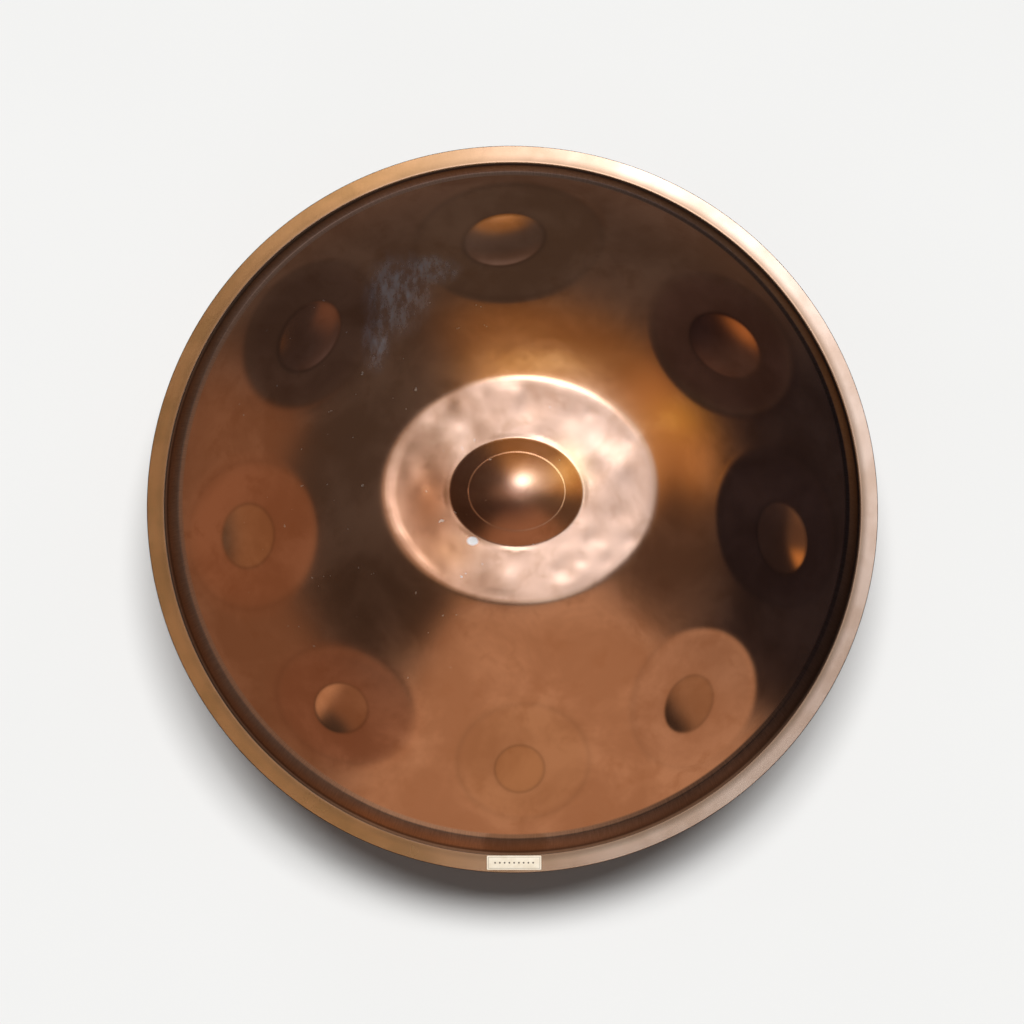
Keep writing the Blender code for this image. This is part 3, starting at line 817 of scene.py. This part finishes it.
def shell_steel(name, tone, heated):
    """Heat-coloured steel: satin bronze on the dome, and sanded steel on the flange with its gold and
    silver sides painted as shade and highlight.
    """
    material, graph = new_material(name)
    place = graph.place()
    radius, angle, x, y, z = polar(graph, place)
    clouds = graph.noise(place, 16.0, 4.0, 0.55, 0.4)
    bronze, scuffs = dome_bronze(graph, place, clouds, tone), 0.0
    if heated:
        bronze, scuffs = worn_bronze(graph, place, x, y, bronze)
    wall = graph.window(radius, WALL_TOP_RADIUS - 0.004, FLANGE_INNER_RADIUS - 0.0005, 0.001)
    streaked = streaked_wall(graph, radius, angle, x, z)
    # painted shade that darkens the wall beside the plate
    if heated:
        by_plate = spot_mask(graph, x, y, *PLATE_SIDE_SHADE, 0.12)
        streaked = graph.mix(graph.maths("MULTIPLY", by_plate, 0.5), streaked, (0.29, 0.17, 0.10, 1))
    bronze = graph.mix(wall, bronze, streaked)
    corner = graph.window(radius, WALL_FOOT_RADIUS - 0.0010, FLANGE_INNER_RADIUS + 0.0003, 0.0010)
    bronze = graph.mix(graph.maths("MULTIPLY", corner, 0.8), bronze, (0.20, 0.145, 0.115, 1))
    # the steel_tint attribute brings tints with painted shade and highlights, and extra roughness in its
    # alpha
    if heated:
        tint_and_light = graph.add("ShaderNodeAttribute", {"attribute_name": "steel_tint"})
        bronze = graph.mix(1.0, bronze, tint_and_light.outputs["Color"], "MULTIPLY")
    flange = graph.rise(radius, FLANGE_INNER_RADIUS - 0.0002, FLANGE_INNER_RADIUS + 0.0008)
    colour = graph.mix(flange, bronze, sanded_flange(graph, place, radius, x, y))
    roughness = graph.rise(clouds, 0.35, 0.7, 0.18, 0.22)
    for mask, added in ((flange, 0.06), (scuffs, 0.22), (wall, 0.12)):
        roughness = graph.maths("ADD", roughness, graph.maths("MULTIPLY", mask, added))
    if heated:
        roughness = graph.maths("ADD", roughness, tint_and_light.outputs["Alpha"])
    grain = graph.noise(place, 1500.0, 2.0, 0.6)
    scratches = graph.noise(graph.stretched(place, (900.0, 120.0, 900.0)), 1.0, 2.0, 0.7)
    height = graph.maths("ADD", graph.maths("MULTIPLY", grain, 0.25),
                         graph.maths("MULTIPLY", scratches, 0.3))
    bump = graph.add("ShaderNodeBump", Strength=0.12, Distance=0.0002, Height=height)
    finish_surface(graph, Base_Color=colour, Metallic=1.0, Roughness=roughness, Normal=bump.outputs[0])
    return material


def glue_material():
    """Dark cured adhesive, slightly uneven."""
    material, graph = new_material("rim_glue_line")
    place = graph.place()
    lumps = graph.noise(place, 420.0, 3.0, 0.6)
    tone = graph.mix(graph.rise(lumps, 0.35, 0.7), (0.020, 0.016, 0.013, 1), (0.050, 0.040, 0.032, 1))
    bump = graph.add("ShaderNodeBump", Strength=0.3, Distance=0.0003, Height=lumps)
    roughness = graph.rise(lumps, 0.3, 0.7, 0.42, 0.6)
    finish_surface(graph, Base_Color=tone, Roughness=roughness, Normal=bump.outputs[0])
    return material


def plate_material():
    """Cream enamel with a fine border and a row of plain dots."""
    material, graph = new_material("plate_enamel")
    low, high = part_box("name_plate")
    centre, half = (low + high) / 2, (high - low) / 2
    place = graph.place()
    x, y, z = graph.add("ShaderNodeSeparateXYZ", Vector=place).outputs
    across = graph.maths("ABSOLUTE", graph.maths("SUBTRACT", x, centre.x))
    along = graph.maths("ABSOLUTE", graph.maths("SUBTRACT", y, centre.y))
    mottle = graph.rise(graph.noise(place, 260.0, 4.0, 0.6), 0.3, 0.7)
    cream = graph.mix(mottle, (0.84, 0.75, 0.61, 1), (0.77, 0.67, 0.52, 1))
    edge = graph.maths("MINIMUM", graph.maths("SUBTRACT", half.x, across),
                       graph.maths("SUBTRACT", half.y, along))
    border = graph.window(edge, *PLATE_BORDER, 0.00008)
    step = graph.maths("PINGPONG", across, PLATE_MARK_SPACING / 2)
    from_dot = graph.length(step, along)
    dots = graph.rise(from_dot, PLATE_MARK_RADIUS * 0.85, PLATE_MARK_RADIUS * 1.15, 1.0, 0.0)
    dots = graph.maths("MULTIPLY", dots, graph.rise(across, half.x - 0.0045, half.x - 0.004, 1.0, 0.0))
    ink = graph.maths("MAXIMUM", graph.maths("MULTIPLY", border, 0.6), dots)
    colour = graph.mix(ink, cream, (0.055, 0.035, 0.025, 1))
    bump = graph.add("ShaderNodeBump", Strength=0.15, Distance=0.0001, Height=graph.noise(place, 900.0))
    roughness = graph.rise(mottle, 0.0, 1.0, 0.34, 0.46)
    finish_surface(graph, Base_Color=colour, Roughness=roughness, Normal=bump.outputs[0])
    return material


def pad_material():
    """Pale foam tape."""
    material, graph = new_material("pad_foam")
    cells = graph.noise(graph.place(), 2200.0, 2.0, 0.5)
    tone = graph.mix(graph.rise(cells, 0.35, 0.65), (0.58, 0.53, 0.44, 1), (0.72, 0.68, 0.58, 1))
    bump = graph.add("ShaderNodeBump", Strength=0.4, Distance=0.0002, Height=cells)
    roughness = graph.rise(cells, 0.3, 0.7, 0.6, 0.8)
    finish_surface(graph, Base_Color=tone, Roughness=roughness, Normal=bump.outputs[0])
    return material


def floor_material():
    """Pale matt floor, see-through from below."""
    material, graph = new_material("studio_floor")
    clouds = graph.rise(graph.noise(graph.place(), 3.0), 0.3, 0.7)
    tone = graph.mix(clouds, (0.80, 0.80, 0.79, 1), (0.81, 0.81, 0.80, 1))
    shader = graph.add("ShaderNodeBsdfDiffuse", Color=tone)
    clear = graph.add("ShaderNodeBsdfTransparent")
    side = graph.add("ShaderNodeNewGeometry").outputs["Backfacing"]
    choice = graph.add("ShaderNodeMixShader", Fac=side)
    graph.put(choice, 1, shader.outputs[0])
    graph.put(choice, 2, clear.outputs[0])
    output = graph.add("ShaderNodeOutputMaterial")
    graph.put(output, 0, choice.outputs[0])
    return material


def make_floor():
    """A large floor that the instrument rests on, kept out of the steel's reflections."""
    half = FLOOR_HALF_SIZE
    corners = np.array(((-half, -half, 0), (half, -half, 0), (half, half, 0), (-half, half, 0)))
    floor = mesh_object("studio_floor", corners, [(0, 1, 2, 3)], floor_material())
    floor.visible_glossy = False


def make_sun(name, strength, spread, elevation, bearing):
    """Soft light on the floor and the plate from one direction, unseen in the steel."""
    light = bpy.data.lights.new(name, "SUN")
    light.energy = strength
    light.angle = math.radians(spread)
    item = bpy.data.objects.new(name, light)
    elevation, bearing = math.radians(elevation), math.radians(bearing)
    source = Vector((math.sin(bearing) * math.cos(elevation), math.cos(bearing) * math.cos(elevation),
                     math.sin(elevation)))
    item.rotation_mode = "QUATERNION"
    item.rotation_quaternion = source.to_track_quat("Z", "Y")
    item.visible_glossy = False
    bpy.context.scene.collection.objects.link(item)


def make_studio():
    """What the steel reflects, a softbox and warm cards, and the pale backdrop that the camera sees."""
    world = bpy.data.worlds.new("studio")
    bpy.context.scene.world = world
    world.use_nodes = True
    world.cycles_visibility.diffuse = False
    graph = Graph(world.node_tree)
    direction = graph.add("ShaderNodeTexCoord").outputs["Generated"]
    x, y, z = graph.add("ShaderNodeSeparateXYZ", Vector=direction).outputs
    lean = graph.maths("DEGREES", graph.maths("ARCCOSINE", z))
    bearing = graph.maths("DEGREES", graph.maths("ARCTAN2", x, y))
    from_front = graph.maths("DEGREES", graph.maths("ARCTAN2", graph.maths("MULTIPLY", x, -1.0),
                                                    graph.maths("MULTIPLY", y, -1.0)))
    angles = {"back": bearing, "front": from_front}
    light = graph.mix(graph.rise(lean, 80.0, 100.0), (0.098, 0.088, 0.085, 1), (0.125, 0.100, 0.088, 1))
    for side, across, upright, colour in CARDS:
        mask = graph.maths("MULTIPLY", graph.window(angles[side], *across), graph.window(lean, *upright))
        light = graph.mix(mask, light, (*colour, 1))
    overhead = graph.rise(z, 0.1, 0.3)
    for centre, half_size, softness, colour in SOFTBOX:
        mask = graph.maths("MULTIPLY", spot_mask(graph, x, y, centre, half_size, softness), overhead)
        light = graph.mix(mask, light, (*colour, 1))
    light = graph.mix(graph.rise(lean, 138.0, 165.0), light, (0.9, 0.85, 0.8, 1))
    camera = graph.add("ShaderNodeLightPath").outputs["Is Camera Ray"]
    light = graph.mix(camera, light, (0.871, 0.871, 0.855, 1))
    background = graph.add("ShaderNodeBackground", Color=light, Strength=1.0)
    output = graph.add("ShaderNodeOutputWorld")
    graph.put(output, 0, background.outputs[0])


def make_camera():
    """The photo's viewpoint: nearly overhead, a little towards the player and to the left."""
    data = bpy.data.cameras.new("camera")
    data.sensor_width = 36
    data.lens = CAMERA_LENS
    data.shift_x, data.shift_y = CAMERA_SHIFT
    item = bpy.data.objects.new("camera", data)
    target = Vector((0, 0, TOP_FLANGE_Z))
    item.location = target + Vector(CAMERA_FROM_RIM)
    back = (item.location - target).normalized()
    right = Vector((0, 1, 0)).cross(back).normalized()
    up = back.cross(right)
    item.rotation_mode = "QUATERNION"
    item.rotation_quaternion = Matrix((right, up, back)).transposed().to_quaternion()
    bpy.context.scene.collection.objects.link(item)
    bpy.context.scene.camera = item


bpy.context.scene.view_settings.view_transform = "Standard"
make_camera()
make_studio()
make_floor()
for sun in SUNS:
    make_sun(*sun)
top_steel = shell_steel("top_shell_steel", 1.0, True)
bottom_steel = shell_steel("bottom_shell_steel", 0.95, False)
top_piece = make_top_shell(top_steel)
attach(top_piece, "root")
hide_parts("top_shell")
bottom_piece = make_bottom_shell(bottom_steel)
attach(bottom_piece, "root")
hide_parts("bottom_shell")
bead_piece = make_bead(glue_material())
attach(bead_piece, "root")
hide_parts("rim_adhesive_bead")
plate_piece = make_slab("plate_enamel", "name_plate", PLATE_LAYERS, plate_material())
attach(plate_piece, "root")
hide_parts("name_plate")
pad_piece = make_slab("pad_foam", "plate_adhesive_pad", PAD_LAYERS, pad_material())
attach(pad_piece, "root")
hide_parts("plate_adhesive_pad")
# the wall in the photo shows no clear mirror image of the plate
plate_piece.visible_glossy = False
pad_piece.visible_glossy = False
